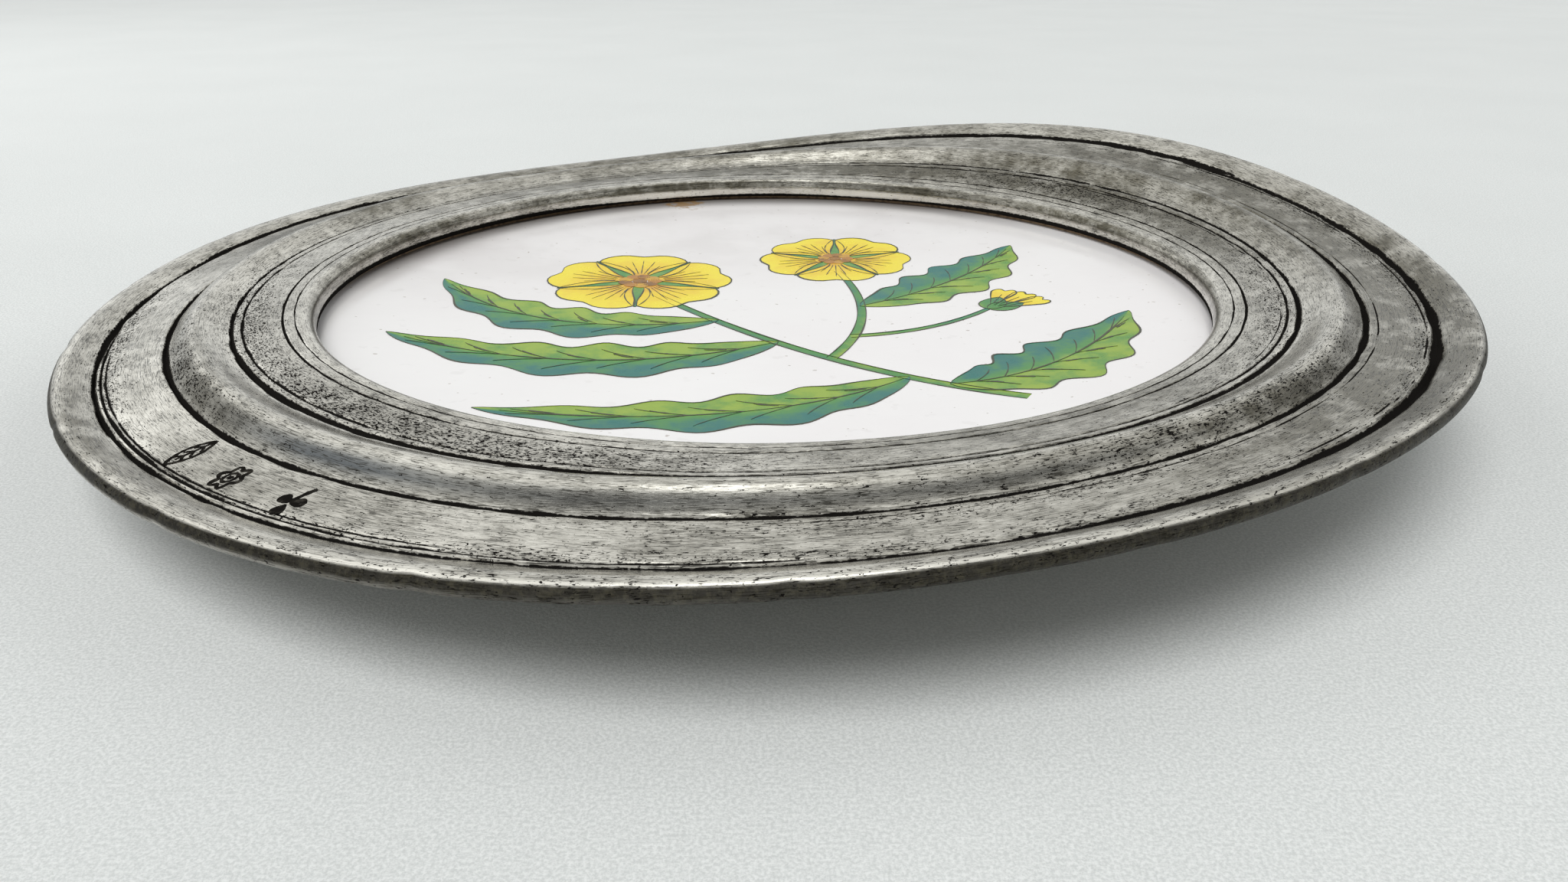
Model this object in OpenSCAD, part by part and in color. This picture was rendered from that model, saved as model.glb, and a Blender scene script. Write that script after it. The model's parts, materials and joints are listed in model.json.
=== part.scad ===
// Decorative wall plate: a glazed ceramic dish set in a wide turned pewter rim.
// Sizes are in millimetres. The plate lies face up on its foot ring, with z = 0 at the table
// and +Y at the side that is the top when it hangs on a wall.

/* [Rim] */
// Outer diameter of the rim
rim_d = 240; // [230:1:260]
// Diameter of the opening that shows the ceramic
opening_d = 162; // [150:1:166]
// Height of the rim's level face above the table
face_z = 18.2; // [17.2:0.2:24]
// Fall of the rim's face from the inner groove to the lip
face_fall = 1.1; // [0:0.1:2]
// Thickness of the flat metal
metal_t = 2.4; // [1.8:0.1:3]
// Width of the rounded outer reed
reed_w = 6.2; // [4:0.1:8]
// Height of the outer reed above the face
reed_h = 1.6; // [0.8:0.1:2]
// Radius of the rounded outer edge
edge_r = 1.25; // [0.9:0.05:1.5]
// Width of the flat band between the outer and the middle groove
flat_band_w = 10.1; // [7:0.1:12]
// Width of the raised moulding between the middle and the inner groove
moulding_w = 9.8; // [7:0.1:11]
// Height of the raised moulding above the face
moulding_h = 2.4; // [1:0.1:3.5]
// Width of a turned groove
groove_w = 0.9; // [0.5:0.1:1.4]
// Depth of a turned groove
groove_d = 0.8; // [0.4:0.1:1.2]

/* [Lip and collar] */
// Radius of the lip's rolled edge
lip_r = 2; // [1:0.1:3]
// Height of the lip, from its top to its seat on the bedding
lip_h = 4.2; // [3.5:0.1:5]
// Width of the lip's seat behind the opening
seat_w = 4.2; // [3.4:0.1:5]
// Wall of the collar behind the rim
collar_t = 2.2; // [1.6:0.1:3]
// Radius of the fillet between the collar and the rim's back
collar_fillet_r = 1.6; // [0.5:0.1:2]

/* [Bend of the rim] */
// Tilt of the outer rim against the dish, at the edge
bend_tilt = 6; // [0:0.1:6]
// Heading of the tilt, in degrees from +X
bend_tilt_at = 20; // [0:1:360]
// Two-fold wave of the bent edge
bend_two = 1.5; // [0:0.1:2]
// Three-fold wave of the bent edge
bend_three = 1.9; // [0:0.1:2]
// Four-fold wave of the bent edge
bend_four = 0.5; // [0:0.1:1]
// Heading of the raised corner where the waves meet, in degrees from +X
bend_corner_at = 47; // [0:1:360]

/* [Ceramic dish] */
// Radial play of the dish in the collar
dish_play = 0.8; // [0.4:0.1:1.2]
// Thickness of the dish at its flat edge
dish_edge_t = 3.6; // [3:0.1:4]
// Thickness of the dish at its centre
dish_t = 4.4; // [3.6:0.1:5]
// Depth of the dish's hollow
dish_depth = 3; // [1:0.1:3.4]
// Width of the flat edge of the dish
dish_flat_w = 5.4; // [4.5:0.1:8]
// Mean diameter of the foot ring
foot_d = 96; // [70:1:110]
// Width of the foot ring's resting face
foot_w = 3; // [2:0.1:5]
// Spread of the foot ring on each side, at its root
foot_flare = 1.2; // [0:0.1:2]

/* [Fixing] */
// Thickness of the bedding in front of the dish
front_bed_t = 0.8; // [0.5:0.1:1.2]
// Thickness of the bedding behind the dish
rear_bed_t = 0.6; // [0.4:0.1:1]
// Set-back of the front bedding from the opening
bed_setback = 1.6; // [0.5:0.1:2]
// Thickness of the retaining ring
ring_t = 1.6; // [1.2:0.1:2]
// Radial width of the retaining ring
ring_w = 9; // [7:0.5:12]
// Radial play of the retaining ring in the collar
ring_play = 0.3; // [0.2:0.05:0.5]
// Number of solder tacks round the retaining ring
tack_count = 8; // [4:1:12]
// Length of a solder tack round the ring, in degrees
tack_angle = 24; // [10:1:26]
// Width of a solder tack
tack_w = 2.6; // [1.6:0.1:3]
// Height of a solder tack
tack_h = 0.7; // [0.4:0.1:1]

/* [Hanger] */
// Width of the hanger strap
strap_w = 9; // [7:0.5:11]
// Thickness of the hanger strap
strap_t = 0.8; // [0.6:0.1:1]
// Length of the strap on the back of the retaining ring
strap_l = 5; // [4:0.1:5.5]
// Diameter of the ring's wire
wire_d = 2; // [1.6:0.1:2.2]
// Running clearance of the wire in the strap's eye, on the radius
eye_play = 0.05; // [0.03:0.01:0.1]
// Width of the hanging ring, to the middle of its wire
loop_w = 18; // [16:0.5:22]
// Straight length of the ring's sides
loop_side = 3; // [1:0.5:5]
// Gap between the collar and the strap's eye
eye_gap = 0.5; // [0.3:0.1:1]
// Clearance of the hanging ring's tip above the table
tip_gap = 0.3; // [0.2:0.1:1]
// Width of a solder fillet beside the strap
strap_fillet_w = 1.2; // [0.6:0.1:1.6]
// Height of a solder fillet beside the strap
strap_fillet_h = 0.6; // [0.3:0.1:0.6]

/* [Hidden] */
$fn = 96;

// Steps round the rim, along its round stretches and along the dish's curve
rim_steps = 72;
arc_steps = 4;
moulding_steps = 8;
dish_steps = 10;
// Sharpness of the dish's rise towards its edge
dish_power = 2.5;
// Overlap that joins or cuts cleanly
eps = 0.01;

pewter = [0.56, 0.55, 0.52];
glaze = [0.91, 0.88, 0.87];
cork = [0.45, 0.33, 0.22];
solder = [0.66, 0.66, 0.65];
brass = [0.72, 0.58, 0.30];

// Radii of the rim's parts, from the outside in
rim_r = rim_d / 2;
opening_r = opening_d / 2;
groove_1_r = rim_r - reed_w;
groove_2_r = groove_1_r - flat_band_w;
groove_3_r = groove_2_r - moulding_w;
lip_start_r = opening_r + lip_r;
seat_r = opening_r + seat_w;
collar_r = seat_r + collar_t;

// Heights, from the lip down to the back of the collar
function face_at(r) = face_z - face_fall * max(0, groove_3_r - r) / (groove_3_r - lip_start_r);
rim_back_z = face_at(collar_r) - metal_t;
lip_top_z = face_at(lip_start_r);
seat_z = lip_top_z - lip_h;
dish_edge_z = seat_z - front_bed_t;
dish_back_z = dish_edge_z - dish_edge_t;
ring_top_z = dish_back_z - rear_bed_t;
back_z = ring_top_z - ring_t;

// Rise of the bent rim: nothing at the lip and in the seat, growing steadily to the outer edge
function bend_at(a) =
    bend_tilt * cos(a - bend_tilt_at)
    + bend_two * cos(2 * (a - bend_corner_at))
    + bend_three * cos(3 * (a - bend_corner_at))
    + bend_four * cos(4 * (a - bend_corner_at));
function lift(p, a) = p[1] > seat_z ? max(0, p[0] - lip_start_r) / (rim_r - lip_start_r) * bend_at(a) : 0;

function arc(centre, r, from, to) =
    [for (i = [0 : arc_steps]) let (a = from + (to - from) * i / arc_steps) centre + r * [cos(a), sin(a)]];
function groove(r) = [
    [r + groove_w / 2, face_at(r)],
    [r, face_at(r) - groove_d],
    [r - groove_w / 2, face_at(r)]
];
function reed() = let (inner = groove_1_r + groove_w / 2, outer = rim_r - edge_r)
    [for (i = [arc_steps - 1 : -1 : 1]) let (t = i / arc_steps)
        [inner + (outer - inner) * t, face_z + reed_h * sin(90 * t)]];
function moulding() = let (outer = groove_2_r - groove_w / 2, inner = groove_3_r + groove_w / 2)
    [for (i = [1 : moulding_steps - 1]) let (t = i / moulding_steps, r = outer + (inner - outer) * t)
        [r, face_at(r) + moulding_h * sin(180 * t)]];

// Section of the rim before it was bent, from the lower outer edge over the face to the back
rim_section = concat(
    arc([rim_r - edge_r, face_z + reed_h - edge_r], edge_r, -90, 90),
    reed(),
    groove(groove_1_r),
    groove(groove_2_r),
    moulding(),
    groove(groove_3_r),
    arc([lip_start_r, lip_top_z - lip_r], lip_r, 90, 180),
    [[opening_r, seat_z], [seat_r, seat_z], [seat_r, back_z], [collar_r, back_z]],
    arc([collar_r + collar_fillet_r, rim_back_z - collar_fillet_r], collar_fillet_r, 180, 90),
    [[groove_1_r, face_z - metal_t]]
);

// One closed ring swept round Z from a section, each point raised by the bend
module bent_ring(section) {
    n = len(section);
    points = [for (s = [0 : rim_steps - 1]) let (a = 360 * s / rim_steps)
        for (p = section) [p[0] * cos(a), p[0] * sin(a), p[1] + lift(p, a)]];
    faces = [for (s = [0 : rim_steps - 1]) let (t = (s + 1) % rim_steps)
        for (i = [0 : n - 1]) let (j = (i + 1) % n)
            each [[s * n + i, s * n + j, t * n + j], [s * n + i, t * n + j, t * n + i]]];
    polyhedron(points, faces);
}

module flat_ring(outer_r, inner_r, z, t) {
    rotate_extrude()
        translate([inner_r, z])
            square([outer_r - inner_r, t]);
}

module rim() {
    color(pewter)
        bent_ring(rim_section);
}

// Dish radii and the curves of its face and back
dish_r = seat_r - dish_play;
hollow_r = dish_r - dish_flat_w;
centre_top_z = dish_edge_z - dish_depth;
centre_back_z = centre_top_z - dish_t;
foot_r = foot_d / 2;
function curve(r, low, high) = low + (high - low) * pow(r / hollow_r, dish_power);
function curve_points(low, high) = [for (i = [0 : dish_steps]) let (r = hollow_r * i / dish_steps)
    [r, curve(r, low, high)]];
function reversed(list) = [for (i = [len(list) - 1 : -1 : 0]) list[i]];

module ceramic_dish() {
    foot_root = foot_w / 2 + foot_flare;
    foot_top_z = curve(foot_r, centre_back_z, dish_back_z) + dish_t / 2;
    color(glaze) {
        rotate_extrude() {
            polygon(concat(
                curve_points(centre_back_z, dish_back_z),
                [[dish_r, dish_back_z], [dish_r, dish_edge_z]],
                reversed(curve_points(centre_top_z, dish_edge_z))
            ));
            polygon([
                [foot_r - foot_w / 2, 0],
                [foot_r + foot_w / 2, 0],
                [foot_r + foot_root, foot_top_z],
                [foot_r - foot_root, foot_top_z]
            ]);
        }
    }
}

module front_bedding() {
    color(cork)
        flat_ring(dish_r, opening_r + bed_setback, dish_edge_z, front_bed_t);
}

// Outer and inner radius of the retaining ring
ring_r = seat_r - ring_play;
ring_in_r = ring_r - ring_w;

module rear_bedding() {
    color(cork)
        flat_ring(dish_r, hollow_r, ring_top_z, rear_bed_t);
}

module retaining_ring() {
    color(pewter)
        flat_ring(ring_r, ring_in_r, back_z, ring_t);
}

// Low domed beads that bridge the joint between the retaining ring and the collar
module solder_tacks() {
    color(solder)
        for (i = [0 : tack_count - 1])
            rotate([0, 0, 90 + 360 * (i + 0.5) / tack_count - tack_angle / 2])
                rotate_extrude(angle = tack_angle)
                    polygon([
                        [seat_r - tack_w / 2, back_z],
                        [seat_r - tack_w / 4, back_z - tack_h],
                        [seat_r + tack_w / 4, back_z - tack_h],
                        [seat_r + tack_w / 2, back_z]
                    ]);
}

// Eye of the strap, which carries the hanging ring's straight bar along X
wire_r = wire_d / 2;
eye_bore_r = wire_r + eye_play;
eye_r = eye_bore_r + strap_t;
eye_y = collar_r + eye_gap + eye_r;
eye_z = back_z - eye_r;
strap_end_y = seat_r - strap_l;

module hanger_strap() {
    color(brass)
        difference() {
            union() {
                translate([-strap_w / 2, strap_end_y, back_z - strap_t])
                    cube([strap_w, eye_y - strap_end_y, strap_t]);
                translate([-strap_w / 2, eye_y, eye_z])
                    rotate([0, 90, 0])
                        cylinder(r = eye_r, h = strap_w);
            }
            translate([-strap_w / 2 - eps, eye_y, eye_z])
                rotate([0, 90, 0])
                    cylinder(r = eye_bore_r, h = strap_w + 2 * eps);
        }
}

// Fillets of solder along both sides of the strap, on the flat back of the ring and the collar
module strap_solder() {
    color(solder)
        for (side = [0, 1])
            mirror([side, 0, 0])
                translate([strap_w / 2, strap_end_y, back_z])
                    rotate([-90, 0, 0])
                        linear_extrude(collar_r - eye_gap - strap_end_y)
                            polygon([[0, 0], [strap_fillet_w, 0], [0, strap_fillet_h]]);
}

// The ring hangs from its bar until its tip nearly meets the table
loop_r = loop_w / 2;
loop_reach = loop_side + loop_r;
droop = asin(min(1, (eye_z - wire_r - tip_gap) / loop_reach));

module hanger_ring() {
    color(brass)
        translate([0, eye_y, eye_z])
            rotate([-droop, 0, 0]) {
                translate([-loop_r, 0, 0])
                    rotate([0, 90, 0])
                        cylinder(r = wire_r, h = loop_w);
                for (x = [-loop_r, loop_r]) {
                    translate([x, 0, 0])
                        sphere(r = wire_r);
                    translate([x, 0, 0])
                        rotate([-90, 0, 0])
                            cylinder(r = wire_r, h = loop_side);
                }
                translate([0, loop_side, 0])
                    rotate_extrude(angle = 180)
                        translate([loop_r, 0])
                            circle(r = wire_r);
            }
}

rim();
ceramic_dish();
front_bedding();
rear_bedding();
retaining_ring();
solder_tacks();
hanger_strap();
strap_solder();
hanger_ring();
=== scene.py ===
"""Looks of a decorative wall plate: a painted, glazed dish in a worn, turned pewter rim.

Sizes are in millimetres, as in the part's source, and meshes are made in metres, in the part's own frame.
"""
import json
import math

import bmesh
import bpy
import numpy as np
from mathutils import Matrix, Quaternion, Vector


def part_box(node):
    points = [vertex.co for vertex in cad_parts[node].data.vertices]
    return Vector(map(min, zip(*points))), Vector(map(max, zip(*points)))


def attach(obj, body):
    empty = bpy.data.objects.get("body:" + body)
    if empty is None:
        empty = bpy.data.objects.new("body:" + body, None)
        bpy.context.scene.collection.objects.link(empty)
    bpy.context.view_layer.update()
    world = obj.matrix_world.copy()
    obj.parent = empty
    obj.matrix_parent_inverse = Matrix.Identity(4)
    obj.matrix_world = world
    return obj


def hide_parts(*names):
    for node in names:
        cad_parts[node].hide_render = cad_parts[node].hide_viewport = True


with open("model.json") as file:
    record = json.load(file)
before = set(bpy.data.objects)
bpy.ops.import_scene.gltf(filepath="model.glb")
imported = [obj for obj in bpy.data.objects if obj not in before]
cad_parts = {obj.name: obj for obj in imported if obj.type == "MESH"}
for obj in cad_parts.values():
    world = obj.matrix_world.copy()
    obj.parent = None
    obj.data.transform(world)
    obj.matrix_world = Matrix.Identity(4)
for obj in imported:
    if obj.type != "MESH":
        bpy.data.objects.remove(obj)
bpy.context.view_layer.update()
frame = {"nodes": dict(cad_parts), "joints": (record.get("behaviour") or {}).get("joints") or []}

MM = 0.001

# Sizes read from the frame
RIM_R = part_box("rim")[1].x / MM
BACK_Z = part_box("rim")[0].z / MM
DISH_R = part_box("ceramic_dish")[1].x / MM
DISH_EDGE_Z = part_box("ceramic_dish")[1].z / MM
RING_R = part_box("retaining_ring")[1].x / MM
RING_TOP_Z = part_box("retaining_ring")[1].z / MM
STRAP_W = 2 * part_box("hanger_strap")[1].x / MM
STRAP_END_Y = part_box("hanger_strap")[0].y / MM
SWING = next(joint for joint in frame["joints"] if joint["name"] == "hanger_swing")
EYE_Y = SWING["pos_m"][1] / MM
EYE_Z = SWING["pos_m"][2] / MM

# Rim, from the outside in
FACE_Z = 18.2
FACE_FALL = 1.1
METAL_T = 2.4
REED_W = 6.2
REED_H = 1.6
EDGE_R = 1.25
FLAT_BAND_W = 10.1
MOULDING_W = 9.8
MOULDING_H = 2.4
MOULDING_POWER = 1.3
MOULDING_LEAN = 1.17
GROOVE_W = 0.9
GROOVE_1_R = RIM_R - REED_W
GROOVE_2_R = GROOVE_1_R - FLAT_BAND_W
GROOVE_3_R = GROOVE_2_R - MOULDING_W
OPENING_R = 81.0
LIP_R = 2.0
LIP_H = 4.2
LIP_START_R = OPENING_R + LIP_R
SEAT_R = OPENING_R + 4.2
COLLAR_R = SEAT_R + 2.2
COLLAR_FILLET_R = 1.6
CORNER_R = 0.4

# Dish
DISH_EDGE_T = 3.6
DISH_T = 4.4
DISH_DEPTH = 3.0
DISH_FLAT_W = 5.4
DISH_POWER = 2.5
HOLLOW_TURN = 1.5
HOLLOW_R = DISH_R - DISH_FLAT_W
DISH_TOP_Z = DISH_EDGE_Z - DISH_DEPTH
DISH_BACK_Z = DISH_EDGE_Z - DISH_EDGE_T
FOOT_R = 48.0
FOOT_W = 3.0
FOOT_ROOT_W = 5.4

# Back ring, solder and hanger
RING_W = 9.0
TACK_COUNT = 8
TACK_ANGLE = 24
TACK_W = 2.6
TACK_H = 0.7
STRAP_T = 0.8
STRAP_ROUNDING = 0.12
ROLL_END = -214
WIRE_R = 1.0
LOOP_R = 9.0
LOOP_SIDE = 3.0
LOOP_CORNER_R = 1.6
TIP_GAP = 0.3
FILLET_W = 1.2
FILLET_H = 0.6
FILLET_OFF = 0.3
FILLET_END_Y = COLLAR_R - 0.5
SOLDER_SINK = 0.05

# Steps of the turned meshes, and points along the roundings, the strap's roll and round the wire
RIM_STEPS = 720
DISH_STEPS = 240
EDGE_POINTS = 31
CORNER_POINTS = 5
ROLL_POINTS = 44
WIRE_POINTS = 16

# Camera, fitted to the rings of the rim
CAMERA_AT = (0.0, -221.0, 78.57)
CAMERA_AIM = (2.0, -86.29, 19.0)
CAMERA_ROLL = -0.09
CAMERA_LENS = 27.42


def face_at(r):
    """Height of the rim's plain face, which falls towards the lip."""
    return FACE_Z - FACE_FALL * np.maximum(0, GROOVE_3_R - r) / (GROOVE_3_R - LIP_START_R)


LIP_TOP_Z = face_at(LIP_START_R)
SEAT_Z = LIP_TOP_Z - LIP_H


def moulded_face(r):
    """Height of the face with the outer reed and the raised moulding."""
    reed_from = GROOVE_1_R + GROOVE_W / 2
    reed_t = np.clip((r - reed_from) / (RIM_R - EDGE_R - reed_from), 0, 1)
    moulding_from = GROOVE_3_R + GROOVE_W / 2
    moulding_t = np.clip((r - moulding_from) / (MOULDING_W - GROOVE_W), 0, 1)
    moulding = np.maximum(0, np.sin(np.pi * moulding_t ** MOULDING_LEAN)) ** MOULDING_POWER
    return face_at(r) + REED_H * np.sin(np.pi / 2 * reed_t) + MOULDING_H * moulding


# Rise, number of turns and start in degrees of each wave in the bent outer edge
BEND_WAVES = [(6, 1, 20), (1.5, 2, 47), (1.9, 3, 47), (0.5, 4, 47)]


def bend(theta):
    """Rise of the bent outer edge at an angle."""
    return sum(rise * np.cos(turns * (theta - math.radians(start))) for rise, turns, start in BEND_WAVES)


def lift(r, theta):
    """Rise of a point of the bent rim."""
    return np.maximum(0, r - LIP_START_R) / (RIM_R - LIP_START_R) * bend(theta)


# Peak of an irregular wave, as a share of its weights' norm
WAVE_PEAK = 1.7


def wobble(theta, seed, first, last):
    """Irregular closed wave from -1 to 1, of first to last whole turns."""
    draw = np.random.default_rng(seed)
    turns = np.arange(first, last + 1)
    phases = draw.uniform(0, 2 * np.pi, len(turns))
    weights = draw.uniform(0.3, 1, len(turns))
    wave = np.sum(weights * np.cos(theta[..., None] * turns + phases), axis=-1)
    return np.clip(wave / (WAVE_PEAK * np.linalg.norm(weights)), -1, 1)


def smooth(value, low, high):
    """Smooth step from 0 at low to 1 at high."""
    t = np.clip((value - low) / (high - low), 0, 1)
    return t * t * (3 - 2 * t)


def near(theta, angle, half_turn):
    """Bell from 0 to 1 about an angle, with its half-width, in degrees."""
    turn = np.mod(np.degrees(theta) - angle + 180, 360) - 180
    return np.exp(-(turn / half_turn) ** 2)


def heading(turn):
    """Flat unit vector at an angle."""
    return np.array([math.cos(turn), math.sin(turn)])


def pairs(first, second):
    """Points from two rows of coordinates, or from a row and a number."""
    return np.stack(np.broadcast_arrays(first, second), axis=1)


def arc(centre, r, start, end, count):
    """Points along a flat arc, with angles in degrees."""
    a = np.radians(np.linspace(start, end, count))
    return pairs(centre[0] + r * np.cos(a), centre[1] + r * np.sin(a))


def rounded(r, z, start, turn=90):
    """Small rounding of a section about a point, with angles in degrees."""
    return arc((r, z), CORNER_R, start, start + turn, CORNER_POINTS)


def curve(points, count):
    """Points along a quadratic curve with three control points."""
    t = np.linspace(0, 1, count)[:, None]
    a, b, c = (np.array(p, float) for p in points)
    return (1 - t) ** 2 * a + 2 * t * (1 - t) * b + t ** 2 * c


def dish_top(r):
    """Height of the dish's glazed face."""
    soft = HOLLOW_TURN * np.log1p(np.exp((HOLLOW_R - r) / HOLLOW_TURN))
    return DISH_TOP_Z + DISH_DEPTH * np.maximum(0, 1 - soft / HOLLOW_R) ** DISH_POWER


def dish_back(r):
    """Height of the dish's back without its foot."""
    centre = DISH_TOP_Z - DISH_T
    return centre + (DISH_BACK_Z - centre) * np.minimum(1, r / HOLLOW_R) ** DISH_POWER


# Meshes

def add_object(name, data):
    """A new object in the scene."""
    made = bpy.data.objects.new(name, data)
    bpy.context.scene.collection.objects.link(made)
    return made


def mesh_object(name, points, faces, attributes=None, sharp=40):
    """A smooth closed mesh object from points in millimetres, with float attributes on its points."""
    mesh = bpy.data.meshes.new(name)
    mesh.from_pydata((np.asarray(points) * MM).tolist(), [], faces)
    for key, values in (attributes or {}).items():
        made = mesh.attributes.new(key, "FLOAT", "POINT")
        made.data.foreach_set("value", np.asarray(values, np.float32).ravel())
    work = bmesh.new()
    work.from_mesh(mesh)
    bmesh.ops.remove_doubles(work, verts=work.verts, dist=1e-8)
    bmesh.ops.recalc_face_normals(work, faces=work.faces)
    work.to_mesh(mesh)
    work.free()
    mesh.polygons.foreach_set("use_smooth", np.ones(len(mesh.polygons), bool))
    mesh.set_sharp_from_angle(angle=math.radians(sharp))
    return add_object(name, mesh)


def grid_faces(rows, columns, wrap_rows, wrap_columns, start=0):
    """Quads over a grid of points, closed on itself where it wraps."""
    i = np.arange(rows if wrap_rows else rows - 1)
    j = np.arange(columns if wrap_columns else columns - 1)
    i, j = (part.ravel() for part in np.meshgrid(i, j, indexing="ij"))
    below, right = (i + 1) % rows, (j + 1) % columns
    corners = [(i, j), (i, right), (below, right), (below, j)]
    return (np.stack([row * columns + column for row, column in corners], axis=1) + start).tolist()


def turned(section, steps):
    """Radius, height and angle of a section's points at each step round Z."""
    theta = 2 * np.pi * np.arange(steps)[:, None] / steps
    r = np.broadcast_to(section[:, 0], (steps, len(section))).copy()
    z = np.broadcast_to(section[:, 1], (steps, len(section))).copy()
    return r, z, np.broadcast_to(theta, r.shape)


def polar_points(r, z, theta):
    """Points in space from radii, heights and angles."""
    return np.stack([r * np.cos(theta), r * np.sin(theta), z], axis=-1).reshape(-1, 3)


def run_along(section, steps):
    """Way along a section to each of its points, at each step round Z."""
    lengths = np.linalg.norm(np.diff(section, axis=0), axis=1)
    return np.broadcast_to(np.concatenate([[0], np.cumsum(lengths)]), (steps, len(section)))


def turned_object(name, section, steps, wrap=True, cast=0.0):
    """A plain turned piece, cast to a roughness. Without wrap, its section starts and ends on the axis."""
    r, z, theta = turned(section, steps)
    faces = grid_faces(steps, len(section), True, wrap)
    masks = {"across": run_along(section, steps), "cast": np.full(r.shape, cast)}
    return mesh_object(name, polar_points(r, z, theta), faces, masks)


class Slabs:
    """Thin closed slabs that are laid on a surface and made into one mesh."""

    def __init__(self):
        self.points, self.faces, self.shades = [], [], []
        self.count = 0

    def add(self, grid, top, bottom, shade):
        """Adds a slab over a grid of (x, y) points, between two heights, with a shade from 0 to 1."""
        rows, columns = grid.shape[:2]
        index = np.arange(rows * columns).reshape(rows, columns) + self.count
        for heights in (top, bottom):
            level = np.broadcast_to(heights, index.shape)[..., None]
            self.points.append(np.concatenate([grid, level], axis=2).reshape(-1, 3))
            self.shades.append(np.broadcast_to(shade, index.shape).ravel())
            self.faces += grid_faces(rows, columns, False, False, self.count)
            self.count += index.size
        border = np.concatenate([index[0, :-1], index[:-1, -1], index[-1, :0:-1], index[:0:-1, 0]])
        after = np.roll(border, -1)
        self.faces += np.stack([border, after, after + index.size, border + index.size], axis=1).tolist()

    def build(self, name):
        """The slabs as one mesh object."""
        shades = {"shade": np.concatenate(self.shades)}
        return mesh_object(name, np.concatenate(self.points), self.faces, shades)


# Turned pewter rim

# Radius, width, depth, wander, and first and last angle in degrees of each cut line, and how broken it is
CUTS = [
    (GROOVE_1_R, 0.8, 0.7, 0.1, 0, 360, 0.15),
    (GROOVE_1_R - 0.15, 1.7, 0.9, 0.18, 279, 392, 0.1),
    (GROOVE_1_R + 0.1, 1.5, 0.85, 0.12, 132, 206, 0.1),
    (GROOVE_1_R - 0.95, 0.5, 0.4, 0.1, 190, 276, 0.15),
    (GROOVE_1_R - 1.65, 0.36, 0.25, 0.12, 196, 256, 0.3),
    (GROOVE_1_R + 0.55, 1.4, 0.55, 0.1, 20, 178, 0.1),
    (GROOVE_1_R - 1.6, 0.3, 0.15, 0.12, 300, 400, 0.7),
    (GROOVE_2_R + 1.6, 0.25, 0.14, 0.15, 268, 395, 0.75),
    (GROOVE_2_R, 1.05, 0.65, 0.08, 0, 360, 0.1),
    (GROOVE_3_R, 0.85, 0.65, 0.08, 0, 360, 0.1),
    (GROOVE_3_R - 1.75, 0.5, 0.34, 0.1, 0, 360, 0.12),
    (GROOVE_3_R - 2.6, 0.28, 0.16, 0.14, 300, 420, 0.75),
    (LIP_START_R + 2.9, 0.46, 0.3, 0.1, 0, 360, 0.15),
    (LIP_START_R + 1.0, 0.3, 0.18, 0.1, 0, 360, 0.6),
    (GROOVE_3_R - 0.35, 0.7, 0.5, 0.08, 205, 335, 0.1),
]
CUT_REACH = 1.0
CUT_STEP = 0.1
FACE_STEP = 0.7
CUT_FADE_DEG = 12

# Angle in degrees, width and depth of the nicks in the outer edge
NICKS = [
    (182, 1.5, 0.25), (197, 2.5, 0.3), (214, 1.2, 0.2), (233, 2.0, 0.2), (252, 1.6, 0.35), (263, 1.0, 0.2),
    (271, 1.4, 0.3), (289, 2.2, 0.2), (304, 1.2, 0.2), (326, 2.4, 0.15), (352, 2.4, 0.12), (17, 2.6, 0.3),
    (48, 2.0, 0.2), (71, 3.0, 0.25), (96, 1.8, 0.2), (124, 2.2, 0.3), (147, 1.6, 0.2), (166, 2.4, 0.25),
]

# Angle, radius, half-widths along the turning and across it, and strength of dull patches, angles in degrees
DULL_PATCHES = [
    (325, 108.5, 38, 6.0, 1.0), (12, 108.5, 32, 6.0, 1.0), (310, 117.0, 28, 3.5, 0.6),
    (342, 117.0, 24, 3.5, 0.65), (219, 117.5, 14, 2.5, 0.7), (10, 99.0, 26, 3.0, 0.8),
    (30, 89.5, 60, 5.5, 0.95), (95, 89.0, 40, 4.5, 0.7), (302, 88.5, 26, 5.5, 0.45),
    (232, 89.0, 24, 4.5, 0.32), (195, 88.0, 24, 4.0, 0.25), (295, 85.0, 16, 2.5, 0.4),
    (308, 101.4, 28, 1.9, 0.65), (212, 100.5, 10, 3.0, 0.85), (222, 101.8, 9, 1.5, 0.6),
    (233, 109.5, 12, 4.0, 0.36), (100, 108.0, 60, 6.0, 0.8), (105, 117.0, 45, 4.0, 0.6),
    (160, 108.5, 14, 4.5, 0.6), (152, 99.0, 9, 4.0, 0.55), (112, 102.0, 45, 6.0, 0.72),
    (134, 89.0, 14, 5.0, 0.5), (45, 96.5, 16, 2.5, 0.5), (203, 108.5, 20, 5.0, 0.42),
    (203, 117.0, 20, 3.5, 0.25),
]
# The same of painted dark reflections on the moulding, smooth and blue-grey
REFLECTION_PATCHES = [
    (237, 101.6, 11, 1.1, 1.0), (256, 101.8, 16, 0.8, 0.5), (285, 101.9, 20, 0.7, 0.35),
]
# The same of pitted patches
PIT_PATCHES = [
    (250, 89.5, 24, 4.0, 1.0), (222, 90.0, 26, 4.0, 0.7), (212, 101.5, 16, 2.4, 1.0),
    (310, 100.8, 30, 2.6, 0.8), (340, 90.5, 30, 4.0, 0.8), (42, 89.5, 22, 4.0, 0.9),
    (196, 112.0, 22, 2.5, 0.9), (283, 105.8, 30, 2.4, 0.7), (262, 112.0, 40, 1.6, 0.7),
    (0, 112.0, 50, 2.0, 0.8), (280, 118.6, 70, 2.0, 0.5), (190, 92.0, 22, 5.0, 0.7),
]
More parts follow.
